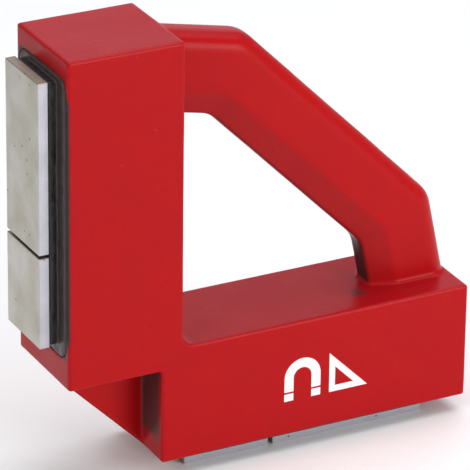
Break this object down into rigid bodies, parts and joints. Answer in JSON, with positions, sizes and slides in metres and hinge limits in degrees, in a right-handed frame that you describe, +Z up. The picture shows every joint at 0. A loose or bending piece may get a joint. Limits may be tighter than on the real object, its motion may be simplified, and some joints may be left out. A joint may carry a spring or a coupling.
{
  "type": "magnetic welding square",
  "caption": "Fixed 90 degree magnetic square: a red L-shaped casting with a diagonal carrying handle, and ground steel pole plates on the outer face of each leg that grip steelwork at right angles.",
  "frame": {"origin": "centre of the bounding box in plan, at the height of the foot's pole faces, which is what the square stands on", "axes": "+X along the foot, away from the working corner; +Z up the upright; +Y through the depth, front face to back face"},
  "size_m": [0.2084, 0.0512, 0.2071],
  "materials": {
    "red_enamel": "glossy red enamel over a cast surface",
    "ground_steel": "surface-ground, satin",
    "ferrite": "matte dark grey ferrite",
    "aluminium_bar": "mill finish",
    "mild_steel": "bright drawn bar",
    "black_resin": "black potting resin, satin",
    "stainless_steel": "plain stainless screws"
  },
  "bodies": {
    "root": {"casting": "red_enamel", "foot_pole_plate_short": "ground_steel", "foot_pole_plate_long": "ground_steel", "foot_magnet_short": "ferrite", "foot_magnet_long_inner": "ferrite", "foot_magnet_long_outer": "ferrite", "foot_magnet_spacer": "aluminium_bar", "foot_yoke": "mild_steel", "foot_resin": "black_resin", "foot_pole_screw_1": "stainless_steel", "foot_pole_screw_2": "stainless_steel", "foot_pole_screw_3": "stainless_steel", "foot_yoke_screw_1": "stainless_steel", "foot_yoke_screw_2": "stainless_steel", "upright_pole_plate_short": "ground_steel", "upright_pole_plate_long": "ground_steel", "upright_magnet_short": "ferrite", "upright_magnet_long_inner": "ferrite", "upright_magnet_long_outer": "ferrite", "upright_magnet_spacer": "aluminium_bar", "upright_yoke": "mild_steel", "upright_resin": "black_resin", "upright_pole_screw_1": "stainless_steel", "upright_pole_screw_2": "stainless_steel", "upright_pole_screw_3": "stainless_steel", "upright_yoke_screw_1": "stainless_steel", "upright_yoke_screw_2": "stainless_steel"}
  },
  "joints": []
}
